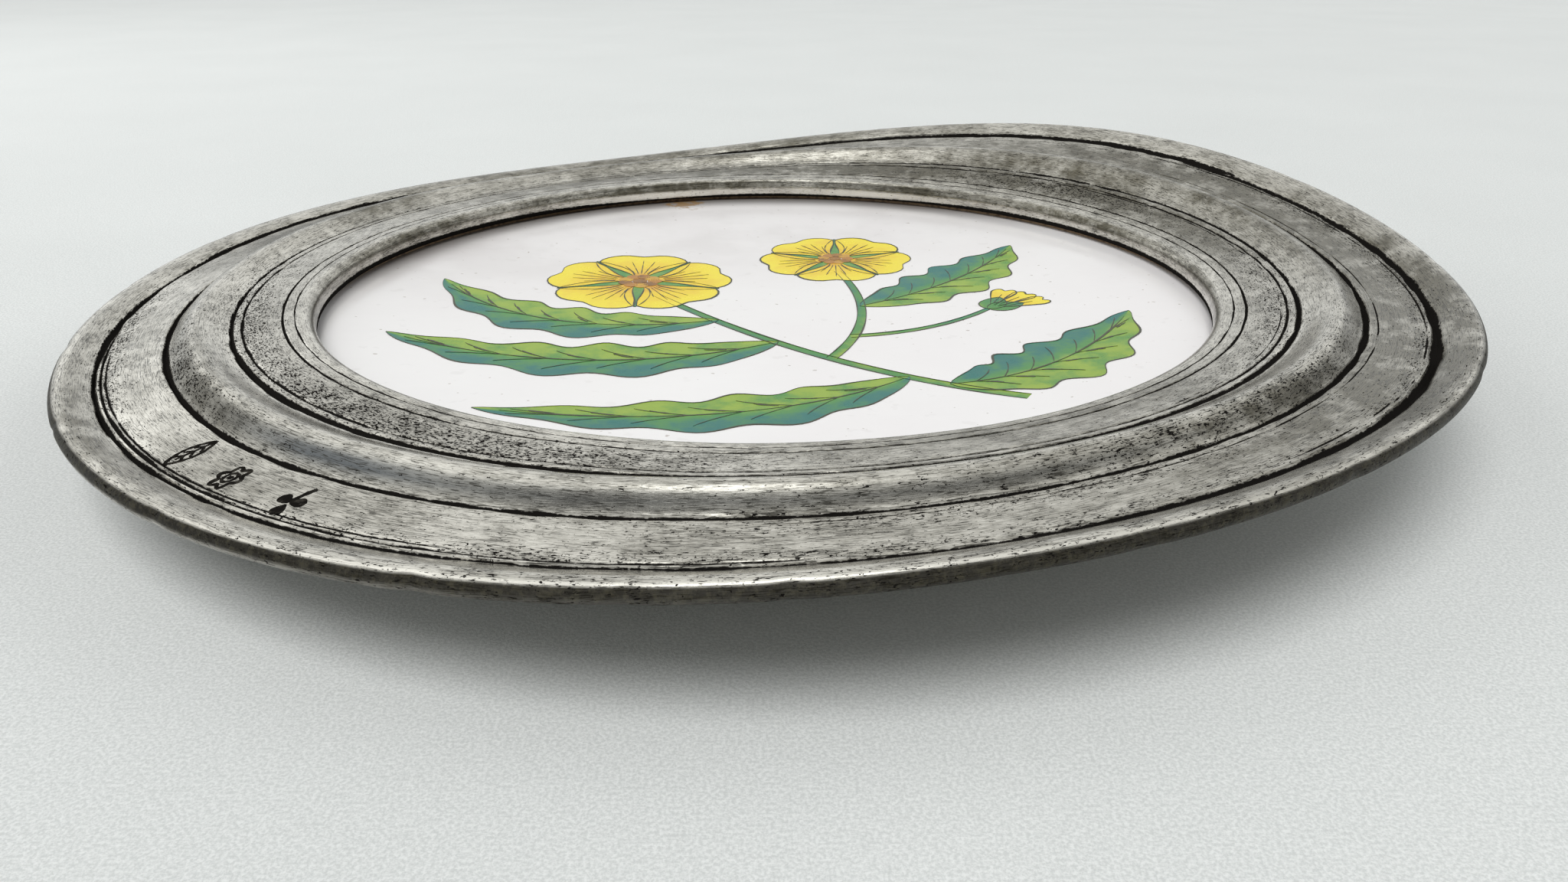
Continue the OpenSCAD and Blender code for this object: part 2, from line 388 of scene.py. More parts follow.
# Angle and half-width in degrees of the painted highlights on the lip
LIP_HIGHLIGHTS = [(109, 15), (71, 17)]
# The same of the outer edge's part where its crust is higher and of the part with a painted highlight
CRUST_PLACE = (222, 26)
EDGE_HIGHLIGHT_PLACE = (278, 42)
# Turn in degrees of each point of the outer edge's rounding, from its underside to its top
EDGE_TURN = np.linspace(-90, 90, EDGE_POINTS)


def patches(places, r, theta):
    """Strength from 0 to 1 of some soft patches at each point of the rim."""
    total = np.zeros_like(r)
    for angle, radius, half_turn, half_width, strength in places:
        total += strength * near(theta, angle, half_turn) * np.exp(-((r - radius) / half_width) ** 2)
    return np.clip(total, 0, 1)


def face_radii():
    """Radii at which the face is sampled, closer together at the cut lines."""
    parts = [np.arange(LIP_START_R, RIM_R - EDGE_R, FACE_STEP)]
    for cut in CUTS:
        parts.append(np.arange(cut[0] - CUT_REACH, cut[0] + CUT_REACH, CUT_STEP))
    radii = np.unique(np.round(np.concatenate(parts), 2))
    radii = radii[(radii > LIP_START_R + CUT_STEP / 2) & (radii < RIM_R - EDGE_R - CUT_STEP / 2)]
    close = np.concatenate([[False], np.diff(radii) < CUT_STEP / 2])
    return radii[~close][::-1]


def rim_section():
    """Section before bending, from the lower outer edge to the back, and masks of its face and cast part."""
    edge = arc((RIM_R - EDGE_R, FACE_Z + REED_H - EDGE_R), EDGE_R, -90, 90, EDGE_POINTS)
    radii = face_radii()
    face = pairs(radii, moulded_face(radii))
    lip = arc((LIP_START_R, LIP_TOP_Z - LIP_R), LIP_R, 90, 180, 14)
    wall = pairs(OPENING_R, np.linspace(LIP_TOP_Z - LIP_R, SEAT_Z + CORNER_R, 8)[1:-1])
    nose = rounded(OPENING_R + CORNER_R, SEAT_Z + CORNER_R, 180)
    seat = np.array([[SEAT_R, SEAT_Z]])
    inner_foot = rounded(SEAT_R + CORNER_R, BACK_Z + CORNER_R, 180)
    outer_foot = rounded(COLLAR_R - CORNER_R, BACK_Z + CORNER_R, -90)
    fillet_at = (COLLAR_R + COLLAR_FILLET_R, face_at(COLLAR_R) - METAL_T - COLLAR_FILLET_R)
    fillet = arc(fillet_at, COLLAR_FILLET_R, 180, 90, 8)
    back_r = np.linspace(COLLAR_R + COLLAR_FILLET_R + 1, GROOVE_1_R, 24)
    back = pairs(back_r, face_at(back_r) - METAL_T)
    under = back[-1] + (edge[0] - back[-1]) * np.linspace(0, 1, 6)[1:-1, None]
    turned_bright = [edge, face, lip, wall, nose]
    left_rough = [seat, inner_foot, outer_foot, fillet, back, under]
    section = np.concatenate(turned_bright + left_rough)
    on_face = np.concatenate([np.full(len(part), part is face) for part in turned_bright + left_rough])
    cast = np.arange(len(section)) >= sum(len(part) for part in turned_bright)
    return section, on_face, cast


def cut_depths(r, theta):
    """Depth of the cut lines at each point, and how dark they are there from 0 to 1."""
    depth, dark = np.zeros_like(r), np.zeros_like(r)
    line = theta[:, :1]
    for seed, (radius, width, deep, wander, first, last, broken) in enumerate(CUTS):
        middle = radius + wander * wobble(line, 10 + seed, 2, 9) + 0.05 * wobble(line, 30 + seed, 30, 90)
        half = width / 2 * (1 + 0.3 * wobble(line, 50 + seed, 12, 80))
        along = 1 - broken * smooth(wobble(line, 70 + seed, 8, 60), -0.1, 0.3)
        if last - first < 360:
            into = np.mod(np.degrees(line) - first, 360)
            along = along * smooth(into, 0, CUT_FADE_DEG)
            along = along * (1 - smooth(into, last - first - CUT_FADE_DEG, last - first))
        share = np.clip(1 - np.abs(r - middle) / half, 0, 1) * along
        depth = np.maximum(depth, deep * share ** 0.7)
        dark = np.maximum(dark, np.clip(2.2 * share, 0, 1))
    return depth, dark


def rim_ripple(r, theta):
    """Slight unevenness of the hand-worked metal."""
    return 0.07 * wobble(theta, 3, 3, 14) * np.cos(r / 5.5) + 0.05 * wobble(theta, 4, 5, 22) * np.sin(r / 3.7)


def edge_crust_shading(theta):
    """Crust and painted shade on the lower part of the outer edge's rounding, higher at the left and worn off
    below it there.
    """
    left = near(theta[:, :1], *CRUST_PLACE)
    crust_and_shade = (0.94 + 0.06 * left) * (1 - smooth(EDGE_TURN, 45 + 12 * left, 62 + 12 * left))
    return crust_and_shade * (1 - 0.9 * left * (1 - smooth(EDGE_TURN, -20, 15)))


def edge_highlight(theta):
    """Painted highlight: a bright line at the top of the outer edge's rounding, on the near side."""
    return smooth(EDGE_TURN, 54, 64) * (1 - smooth(EDGE_TURN, 78, 90)) * near(theta[:, :1], *EDGE_HIGHLIGHT_PLACE)


def lip_finish(section, theta):
    """Masks of the lip's rounding: dirt and painted shade low on its wall, a painted highlight above it and a
    painted dark reflection over that.
    """
    height = (section[:, 1] - SEAT_Z) / LIP_H
    inside = section[:, 0] < LIP_START_R
    line = theta[:, :1]
    bright = np.clip(sum(near(line, *place) for place in LIP_HIGHLIGHTS), 0, 1)
    # Dirt and painted shade in the gap between the lip's wall and the dish, narrower at the painted
    # highlights
    grime_and_shade = (1 - smooth(height, 0.12 - 0.09 * bright, 0.34 - 0.2 * bright)) * inside
    # Painted highlight: a bright line on the lip's rounding, just above its darkest part
    painted_highlight = bright * smooth(height, 0.1, 0.2) * (1 - smooth(height, 0.42, 0.56)) * inside
    # Painted dark reflection on the upper part of the lip's rounding, varied along the lip
    lip_reflection_dark = smooth(height, 0.38, 0.6) * (1 - smooth(height, 0.86, 0.99)) * inside
    lip_reflection_dark = lip_reflection_dark * np.clip(0.6 + 0.5 * wobble(line, 5, 3, 11) + 0.5 * bright, 0, 1)
    return grime_and_shade, painted_highlight, lip_reflection_dark


def make_rim():
    """The turned rim with cut lines, bend, ripples and nicks, and masks of its finish and of its painted
    light and shade.
    """
    section, on_face, cast = rim_section()
    r, z, theta = turned(section, RIM_STEPS)
    depth, dark = cut_depths(r, theta)
    z -= depth * on_face
    free = smooth(z, SEAT_Z, SEAT_Z + 1)
    z += free * (lift(r, theta) + rim_ripple(r, theta[:, :1]))
    for angle, width, deep in NICKS:
        r -= deep * near(theta, angle, math.degrees(width / RIM_R)) * smooth(r, RIM_R - 2 * EDGE_R, RIM_R)
    faces = grid_faces(RIM_STEPS, len(section), True, True)
    crust_and_shade = np.zeros_like(r)
    # Crust and painted shade on the lower part of the outer edge's rounding
    crust_and_shade[:, :EDGE_POINTS] = edge_crust_shading(theta)
    grime_and_shade, painted_highlight, lip_reflection_dark = lip_finish(section, theta)
    # The outer edge's rounding gets its painted highlight line
    painted_highlight[:, :EDGE_POINTS] = edge_highlight(theta)
    masks = {
        "across": run_along(section, RIM_STEPS),
        # One mask for the black cut lines and for the dirt and painted shade low on the lip's wall
        "groove": np.maximum(dark * on_face, grime_and_shade),
        "cast": np.broadcast_to(cast, r.shape),
        "crust_and_shade": crust_and_shade,
        # Painted dark reflections on the moulding
        "painted_reflection": patches(REFLECTION_PATCHES, r, theta),
        "painted_highlight": painted_highlight,
        # Dull patches, and the painted dark reflection on the lip's rounding
        "dull_and_lip_reflection": np.maximum(patches(DULL_PATCHES, r, theta), lip_reflection_dark),
        "pitted": patches(PIT_PATCHES, r, theta),
    }
    return mesh_object("pewter_rim", polar_points(r, z, theta), faces, masks)


# Worn punch marks on the flat band: plain shapes of no maker, inked by age

MARK_INK = 0.08
MARK_RISE = 0.03
MARK_WEIGHT = 1.4
# Rise of each stroke over the one before, so that no two lie at one height
LAYER = 0.004


def rim_top(points):
    """Height of the rim's face under flat points."""
    r = np.linalg.norm(points, axis=-1)
    theta = np.arctan2(points[..., 1], points[..., 0])
    return moulded_face(r) + lift(r, theta) + rim_ripple(r, theta)


def strip(path, half_width, columns=2):
    """Grid of points over a band that follows a flat path."""
    ahead = np.gradient(path, axis=0)
    ahead /= np.linalg.norm(ahead, axis=1, keepdims=True)
    left = pairs(-ahead[:, 1], ahead[:, 0])
    reach = np.asarray(half_width).reshape(len(path), -1) * np.linspace(-1, 1, columns)
    return path[:, None] + left[:, None] * reach[..., None]


def leaf_mark():
    """Bands of a small leaf with its veins, in (along, outward) millimetres."""
    u = np.linspace(0, 1, 25)
    half = 1.45 * np.sin(np.pi * u) ** 0.8
    y = 7.0 * u - 3.5
    bands = [(pairs(side * half, y), 0.42) for side in (-1, 1)]
    bands.append((pairs(0, y)[:20], 0.3))
    for low in (-1.9, -0.5, 0.9):
        for side in (-1, 1):
            bands.append((curve([(0, low), (0.5 * side, low + 0.35), (0.95 * side, low + 1.0)], 8), 0.26))
    return bands


def rosette_mark():
    """Bands of a six-petalled rosette."""
    turn = np.linspace(0, 2 * np.pi, 73)
    spoke = pairs(np.cos(turn), 1.25 * np.sin(turn))
    dot = pairs(np.linspace(-0.4, 0.4, 9), 0)
    return [(spoke * (1.75 + 0.32 * np.cos(6 * turn))[:, None], 0.48), (spoke * 0.85, 0.36), (dot, 0.55)]


def trefoil_mark():
    """Bands of a solid trefoil on its stalk. A band without a width is a leaflet."""
    bands = [(curve([(0, 0.4), (0.1, -1.6), (0.9, -3.1)], 12), 0.55)]
    for turn in (90, 205, 335):
        reach = np.linspace(0.2, 2.3, 12)[:, None]
        leaflet = np.array([0.0, 0.6]) + reach * heading(math.radians(turn)) * np.array([1.0, 1.1])
        bands.append((leaflet, None))
    return bands


# Angle in degrees and radius of each mark on the rim
MARKS = [(226.3, 108.6, leaf_mark), (232.4, 109.2, rosette_mark), (239.0, 109.4, trefoil_mark)]


def make_marks():
    """The marks as thin, inked slabs on the rim's flat band."""
    slabs = Slabs()
    for number, (angle, radius, shape) in enumerate(MARKS):
        outward = heading(math.radians(angle))
        along = np.array([-outward[1], outward[0]])
        for stroke, (path, width) in enumerate(shape()):
            t = np.linspace(0, 1, len(path))
            if width is None:
                half = 0.1 + 0.85 * np.sin(np.pi * t ** 1.5) ** 0.6
            else:
                wave = wobble(2 * np.pi * t, 90 + 12 * number + stroke, 2, 9)
                half = MARK_WEIGHT * width / 2 * (0.9 + 0.35 * wave)
            path = outward * radius + path[:, :1] * along + path[:, 1:] * outward
            grid = strip(path, half, 5)
            top = rim_top(grid) + MARK_RISE + LAYER * stroke
            slabs.add(grid, top, top - MARK_INK, 1)
    return slabs.build("punch_marks")


# Dish and its painted sprig

def make_dish():
    """The dish, turned in one piece with its foot."""
    top_r = np.linspace(0, DISH_R - CORNER_R, 70)[:-1]
    outer_r = np.linspace(HOLLOW_R, FOOT_R + FOOT_ROOT_W / 2 + 1, 24)
    inner_r = np.linspace(FOOT_R - FOOT_ROOT_W / 2 - 1, 0, 30)
    foot_half = FOOT_W / 2 - CORNER_R
    section = np.concatenate([
        pairs(top_r, dish_top(top_r)),
        rounded(DISH_R - CORNER_R, DISH_EDGE_Z - CORNER_R, 90, -90),
        rounded(DISH_R - CORNER_R, DISH_BACK_Z + CORNER_R, 0, -90),
        pairs(outer_r, dish_back(outer_r)),
        arc((FOOT_R + foot_half, CORNER_R), CORNER_R, -20, -90, 6),
        arc((FOOT_R - foot_half, CORNER_R), CORNER_R, -90, -160, 6),
        pairs(inner_r, dish_back(inner_r)),
    ])
    return turned_object("glazed_dish", section, DISH_STEPS, wrap=False)


# Control points of the sprig's stems and leaves, seen from above, with half-widths
STEMS = [
    ([(40, -52), (8, -34), (-22, 8)], 1.0),
    ([(11, -29.9), (23, -6), (15, 24)], 0.85),
    ([(15, -18), (30, -17), (42, -4)], 0.7),
]
LEAVES = [
    ([(2, -20.7), (-30, -42), (-67, -20)], 8.0),
    ([(29, -44.6), (50, -42), (67, -10)], 8.5),
    ([(-9, -8.0), (-44, -20), (-65, 14)], 7.5),
    ([(18, 0), (42, 14), (54, 38)], 8.0),
    ([(23, -40.3), (-2, -65), (-44, -56)], 7.0),
]
LEAF_ROWS = 60
LEAF_COLUMNS = 17
LEAF_WAVES = 5
VEINS = 7
# Centre, radius and turn in degrees of each flower
FLOWERS = [((-26, 17), 19, 20), ((15, 33), 16.5, 52)]
BUD = ((42, -4), 13, 42)
PETALS = 5
PETAL_TURN = 35
BUD_PETAL_TURN = 13
# Column and last row of each ray that is drawn on a petal
FLOWER_RAYS = ((3, 13), (5, 17), (7, 19), (9, 17), (11, 13))
BUD_RAYS = ((7, 18),)
# Heights over the glaze, depth under it, and width of the brush lines
STEM_RISE = 0.02
LEAF_RISE = 0.03
PETAL_RISE = 0.04
LINE_RISE = 0.09
EYE_RISE = 0.12
PAINT_T = 0.1
LINE_W = 0.46


def paint(slabs, grid, rise, shade):
    """Lays a painted patch on the dish, its top a little above the glaze."""
    glaze = dish_top(np.linalg.norm(grid, axis=-1))
    slabs.add(grid, glaze + rise, glaze - PAINT_T, shade)


def paint_line(slabs, path, share, seed):
    """A brush line of a share of the usual width, which swells and thins."""
    t = np.linspace(0, 1, len(path))
    press = 0.6 + 0.4 * wobble(2 * np.pi * t, seed, 1, 4)
    ends = 0.25 + 0.75 * smooth(t, 0, 0.12) * (1 - smooth(t, 0.85, 1))
    paint(slabs, strip(path, LINE_W * share / 2 * press * ends), LINE_RISE, 0.5)


def leaf_half_widths(u, half_width, phase):
    """Half-width of a leaf along its length, with a waved margin."""
    wave = 1 + 0.17 * np.sin(2 * np.pi * (LEAF_WAVES * u + phase)) * smooth(u, 0.1, 0.3)
    return half_width * np.sin(np.pi * u ** 0.85) ** 0.8 * wave + 0.05


def paint_leaf(fills, lines, control, half_width, seed):
    """A leaf that shades across, with its outline, veins and short strokes."""
    spine = curve(control, LEAF_ROWS)
    u = np.linspace(0, 1, LEAF_ROWS)
    side = np.linspace(-1, 1, LEAF_COLUMNS)
    halves = [leaf_half_widths(u, half_width, phase)[:, None] for phase in (0.0, 0.4)]
    grid = strip(spine, np.where(side < 0, halves[0], halves[1]), LEAF_COLUMNS)
    waves = np.abs(side) * np.sin(2 * np.pi * (LEAF_WAVES * u[:, None] + 0.5))
    shade = 0.16 + 0.7 * smooth(side, -0.25, 0.55) + 0.14 * waves
    paint(fills, grid, LEAF_RISE + LAYER * seed, np.clip(shade, 0, 1))
    paint_line(lines, grid[:, 0], 1, 200 + seed)
    paint_line(lines, grid[:, -1], 1, 220 + seed)
    paint_line(lines, spine[1:57], 1.1, 240 + seed)
    for vein in range(VEINS):
        base = 6 + 7 * vein
        for edge in (3, LEAF_COLUMNS - 4):
            tip = grid[min(base + 7, LEAF_ROWS - 2), edge]
            path = curve([spine[base], (spine[base + 3] + tip) / 2, tip], 12)
            paint_line(lines, path, 0.6, 260 + seed + vein)
        stroke = curve([grid[base + 2, 7], grid[base + 4, 6], grid[base + 5, 5]], 8)
        paint_line(lines, stroke, 1.3, 280 + seed + vein)


def petal_grid(centre, radius, turn, half_turn):
    """Grid over one petal, a sector that widens to a notched tip."""
    u = np.linspace(0, 1, 24)[:, None]
    side = np.linspace(-1, 1, 15)
    tip = 1 - 0.16 * side ** 4 - 0.1 * np.exp(-(side / 0.25) ** 2)
    reach = radius * (0.16 + 0.84 * u * (1 + (tip - 1) * u ** 2))
    angle = turn + side * half_turn * (0.55 + 0.45 * np.sin(np.pi / 2 * np.minimum(1, u / 0.75)))
    grid = np.stack([centre[0] + reach * np.cos(angle), centre[1] + reach * np.sin(angle)], axis=2)
    return grid, u, side


def paint_petal(fills, lines, centre, radius, turn, half_turn, layer, seed, rays):
    """A petal that lightens outward, with its outline and rays."""
    grid, u, side = petal_grid(centre, radius, turn, half_turn)
    shade = np.clip(0.1 + 0.95 * u - 0.3 * np.abs(side) ** 3 * u, 0, 1)
    paint(fills, grid, PETAL_RISE + LAYER * layer, shade)
    outline = np.concatenate([grid[1:, 0], grid[-1, 1:-1], grid[:0:-1, -1]])
    paint_line(lines, outline, 1, 300 + seed)
    for column, last in rays:
        paint_line(lines, grid[3:last, column], 0.6, 330 + seed + column)


def paint_sepal(fills, lines, centre, turn, start, length, half_width, seed):
    """A small pointed leaf that runs outward from a flower's centre."""
    t = np.linspace(0, 1, 16)
    path = np.array(centre) + (start + length * t)[:, None] * heading(turn)
    grid = strip(path, half_width * np.sin(np.pi * t ** 0.8) ** 0.8 + 0.04, 7)
    paint(fills, grid, LEAF_RISE + LAYER / 2 * seed, 0.25 + 0.5 * t[:, None])
    paint_line(lines, grid[:, 0], 0.7, 430 + seed)
    paint_line(lines, grid[:, -1], 0.7, 440 + seed)


def paint_flower(fills, greens, lines, eyes, centre, radius, turn, seed):
    """A flower of petals and sepals, with a ring of dots about its eye."""
    for k in range(PETALS):
        angle = math.radians(turn + 360 * k / PETALS)
        between = angle + math.pi / PETALS
        paint_sepal(greens, lines, centre, between, 0.15 * radius, 0.75 * radius, 0.13 * radius, k)
        paint_petal(fills, lines, centre, radius, angle, math.radians(PETAL_TURN), k, seed + k, FLOWER_RAYS)
    around = arc((0, 0), 0.16 * radius, 0, 360, 10)[:-1]
    spots = np.concatenate([np.zeros((1, 2)), around]) + centre
    size = 0.075 * radius
    reach = np.linspace(-size, size, 7)
    half = np.sqrt(np.maximum(0.1 * size ** 2, size ** 2 - reach ** 2))
    for number, spot in enumerate(spots):
        paint(eyes, strip(pairs(reach, 0) + spot, half, 5), EYE_RISE, 0.2 + 0.3 * (number % 3))


def paint_sprig():
    """The painted pieces by name: leaves and stems, petals, eyes and brush lines."""
    greens, yellows, eyes, lines = Slabs(), Slabs(), Slabs(), Slabs()
    for seed, (control, half_width) in enumerate(STEMS):
        path = curve(control, 50)
        half = half_width * np.linspace(1.15, 0.8, len(path))
        shade = np.linspace(0.25, 0.75, len(path))[:, None] + np.array([[-0.15, 0, 0.15]])
        paint(greens, strip(path, half, 3), STEM_RISE + LAYER * seed, shade)
        paint_line(lines, strip(path, half)[:, 0], 0.7, 400 + seed)
        paint_line(lines, strip(path, half)[:, 1], 0.7, 410 + seed)
    for seed, (control, half_width) in enumerate(LEAVES):
        paint_leaf(greens, lines, control, half_width, seed)
    for seed, (centre, radius, turn) in enumerate(FLOWERS):
        paint_flower(yellows, greens, lines, eyes, centre, radius, turn, 10 * seed)
    centre, radius, turn = BUD
    for k in range(3):
        angle = math.radians(turn + 22 * (k - 1))
        paint_petal(yellows, lines, centre, radius, angle, math.radians(BUD_PETAL_TURN), k, 40 + k, BUD_RAYS)
    for k in range(2):
        angle = math.radians(turn + 44 * (k - 0.5))
        paint_sepal(greens, lines, centre, angle, 0, 0.6 * radius, 0.2 * radius, 8 + k)
    return {"painted_leaves": greens, "painted_petals": yellows, "painted_eyes": eyes, "painted_lines": lines}


# Back ring, solder and hanger

def make_ring():
    """The flat ring that holds the dish from behind."""
    inner, outer = RING_R - RING_W + CORNER_R, RING_R - CORNER_R
    low, high = BACK_Z + CORNER_R, RING_TOP_Z - CORNER_R
    places = [(outer, low, -90), (outer, high, 0), (inner, high, 90), (inner, low, 180)]
    section = np.concatenate([rounded(*place) for place in places])
    return turned_object("back_ring", section, DISH_STEPS, cast=0.8)


def bead(path, half_width, height, seed):
    """Grid and heights of a drop of solder along a flat path on the back."""
    t = np.linspace(0, 1, len(path))
    side = np.linspace(-1, 1, 13)
    wave = 1 + 0.12 * wobble(2 * np.pi * t, seed, 2, 7)
    swell = np.sqrt(np.clip(1 - np.abs(2 * t - 1) ** 5, 0, 1)) * wave
    grid = strip(path, half_width * swell + 0.02, len(side))
    return grid, BACK_Z - height * swell[:, None] * (1 - side ** 2) ** 0.6


def solder_object(name, beads):
    """One mesh of solder drops, each sunk a little into what it joins."""
    slabs = Slabs()
    for grid, heights in beads:
        slabs.add(grid, heights, heights.max() + SOLDER_SINK, 0.5)
    return slabs.build(name)


def make_tacks():
    """The drops that join the back ring to the collar."""
    beads = []
    for k in range(TACK_COUNT):
        middle = 90 + 360 * (k + 0.5) / TACK_COUNT
        path = arc((0, 0), SEAT_R, middle - TACK_ANGLE / 2, middle + TACK_ANGLE / 2, 40)
        beads.append(bead(path, TACK_W / 2, TACK_H, 500 + k))
    return solder_object("solder_drops", beads)


def make_fillets():
    """The drops along the strap's two sides."""
    beads = []
    for side in (-1, 1):
        path = pairs(side * (STRAP_W / 2 + FILLET_OFF), np.linspace(STRAP_END_Y, FILLET_END_Y, 24))
        beads.append(bead(path, FILLET_W * 0.75, FILLET_H, 520 + side))
    return solder_object("strap_solder_drops", beads)


def make_strap():
    """A strip that lies on the back and rolls round the wire into an eye."""
    eye_r = BACK_Z - EYE_Z
    flat_y = np.linspace(STRAP_END_Y, EYE_Y, 12)[:-1]
    sides = []
    for deep in (0, STRAP_T):
        roll = arc((EYE_Y, EYE_Z), eye_r - deep, 90, ROLL_END, ROLL_POINTS)
        sides.append(np.concatenate([pairs(flat_y, BACK_Z - deep), roll]))
    outline = np.concatenate([sides[0], sides[1][::-1]])
    widths = np.array([-STRAP_W / 2, -STRAP_W / 6, STRAP_W / 6, STRAP_W / 2])
    points = np.array([[x, y, z] for x in widths for y, z in outline])
    count = len(outline)
    faces = grid_faces(len(widths), count, False, True)
    for first in (0, count * (len(widths) - 1)):
        last = first + count - 1
        faces += [[first + i, first + i + 1, last - 1 - i, last - i] for i in range(len(sides[0]) - 1)]
    strap = mesh_object("strap", points, faces, sharp=30)
    bevel = strap.modifiers.new("rounding", "BEVEL")
    bevel.width = STRAP_ROUNDING * MM
    bevel.segments = 2
    bevel.limit_method = "ANGLE"
    bevel.angle_limit = math.radians(50)
    return strap


def loop_path():
    """Closed, flat middle line of the ring's wire, with its straight bar on the hinge axis."""
    side = LOOP_R - LOOP_CORNER_R
    bow = arc((0, LOOP_SIDE), LOOP_R, 0, 180, 60)
    left = arc((-side, LOOP_CORNER_R), LOOP_CORNER_R, 180, 270, 10)
    bar = pairs(np.linspace(-side, side, 12)[1:-1], 0)
    right = arc((side, LOOP_CORNER_R), LOOP_CORNER_R, 270, 360, 10)
    return np.concatenate([bow, left, bar, right])


def make_hanger():
    """The wire ring, which droops from the eye to just above the table."""
    path = loop_path()
    ahead = np.roll(path, -1, axis=0) - np.roll(path, 1, axis=0)
    ahead /= np.linalg.norm(ahead, axis=1, keepdims=True)
    out = pairs(ahead[:, 1], -ahead[:, 0])
    turn = 2 * np.pi * np.arange(WIRE_POINTS) / WIRE_POINTS
    flat = path[:, None] + WIRE_R * np.cos(turn)[None, :, None] * out[:, None]
    z = np.broadcast_to(WIRE_R * np.sin(turn), flat.shape[:2])
    x, y = flat[..., 0], flat[..., 1]
    droop = math.asin((EYE_Z - WIRE_R - TIP_GAP) / (LOOP_SIDE + LOOP_R))
    c, s = math.cos(droop), math.sin(droop)
    points = np.stack([x, EYE_Y + y * c + z * s, EYE_Z - y * s + z * c], axis=2)
    return mesh_object("wire_ring", points.reshape(-1, 3), grid_faces(len(path), WIRE_POINTS, True, True))


# Materials

class Graph:
    """The nodes of a material or of the world, with short calls for them."""

    def __init__(self, owner, shader, place):
        owner.use_nodes = True
        self.owner = owner
        self.tree = owner.node_tree
        self.shader = self.tree.nodes[shader]
        self.place = self.node("ShaderNodeTexCoord", {}).outputs[place]

    def put(self, socket, value):
        """Feeds an input with an output or a constant, where a colour is a triple."""
        if isinstance(value, bpy.types.NodeSocket):
            self.tree.links.new(value, socket)
        else:
            socket.default_value = (*value, 1.0) if isinstance(value, tuple) else value

    def node(self, kind, inputs, **settings):
        made = self.tree.nodes.new(kind)
        for key, value in settings.items():
            setattr(made, key, value)
        for key, value in inputs.items():
            self.put(made.inputs[key], value)
        return made

    def math(self, operation, *values):
        return self.node("ShaderNodeMath", dict(enumerate(values)), operation=operation).outputs[0]

    def times(self, a, b):
        return self.math("MULTIPLY", a, b)

    def most(self, a, b):
        return self.math("MAXIMUM", a, b)

    def rest(self, value):
        """What a value lacks to 1."""
        return self.math("SUBTRACT", 1.0, value)

    def add(self, *values):
        total = values[0]
        for value in values[1:]:
            total = self.math("ADD", total, value)
        return total

    def blend(self, base, *terms):
        """A base and the sum of values, each with its weight."""
        return self.add(base, *[self.times(value, weight) for value, weight in terms])

    def distance(self, x, y):
        """Length of a flat step."""
        return self.math("SQRT", self.add(self.times(x, x), self.times(y, y)))

    def span(self, value, low, high, to_low=0.0, to_high=1.0):
        """Smooth step of a value between two limits."""
        inputs = {"Value": value, "From Min": low, "From Max": high, "To Min": to_low, "To Max": to_high}
        return self.node("ShaderNodeMapRange", inputs, interpolation_type="SMOOTHSTEP").outputs["Result"]

    def noise(self, scale, detail, rough, vector=None):
        """Noise at the place, or at another vector."""
        at = self.place if vector is None else vector
        inputs = {"Vector": at, "Scale": scale, "Detail": detail, "Roughness": rough}
        return self.node("ShaderNodeTexNoise", inputs).outputs["Fac"]

    def mix(self, factor, a, b):
        return self.node("ShaderNodeMix", {0: factor, 6: a, 7: b}, data_type="RGBA").outputs[2]

    def value(self, name):
        """A float attribute of the mesh."""
        return self.node("ShaderNodeAttribute", {}, attribute_name=name).outputs["Fac"]

    def split(self):
        """The three coordinates of the place."""
        return tuple(self.node("ShaderNodeSeparateXYZ", {"Vector": self.place}).outputs)

    def round_place(self):
        """The two parts of the direction from the axis, and the way across the turning in millimetres."""
        x, y, _ = self.split()
        safe = self.most(self.distance(x, y), 1e-5)
        return self.math("DIVIDE", x, safe), self.math("DIVIDE", y, safe), self.value("across")

    def turned_noise(self, polar, length, width, detail, rough):
        """Noise with marks of a length along the turning and a width across it, in millimetres."""
        c, s, across = polar
        around = RIM_R / length
        inputs = {"X": self.times(c, around), "Y": self.times(s, around), "Z": self.times(across, 1 / width)}
        return self.noise(1, detail, rough, self.node("ShaderNodeCombineXYZ", inputs).outputs[0])

    def bump(self, height, depth):
        """Feeds a height from 0 to 1, of a depth in millimetres, to the shader's normal."""
        made = self.node("ShaderNodeBump", {"Height": height, "Strength": 1.0, "Distance": depth * MM})
        self.put(self.shader.inputs["Normal"], made.outputs[0])

    def finish(self, **inputs):
        """Feeds the shader and returns its owner."""
        for key, value in inputs.items():
            self.put(self.shader.inputs[key.replace("_", " ")], value)
        return self.owner


def material_graph(name):
    return Graph(bpy.data.materials.new(name), "Principled BSDF", "Object")


PEWTER_LIGHT = (0.87, 0.837, 0.765)
PEWTER_BROWN = (0.13, 0.118, 0.088)
PEWTER_REFLECTION_BLUE = (0.1, 0.112, 0.125)
PEWTER_SCRATCH = (0.032, 0.029, 0.022)
PEWTER_BLACK = (0.01, 0.009, 0.008)
CAST_LIGHT = (0.46, 0.45, 0.415)
CAST_DARK = (0.22, 0.21, 0.18)
CRUST_SHADE_LIGHT = (0.048, 0.043, 0.028)
CRUST_SHADE_DARK = (0.016, 0.014, 0.01)

# Middle of the brown stain on the dish, the radii between which it fades, and how ragged it is
STAIN_AT = (-20.5, 77.0)
STAIN_FADE = (1.5, 5.0)
STAIN_RAGGED = 2.5
# Height up to which the foot is bare of glaze
BARE_Z = 0.7


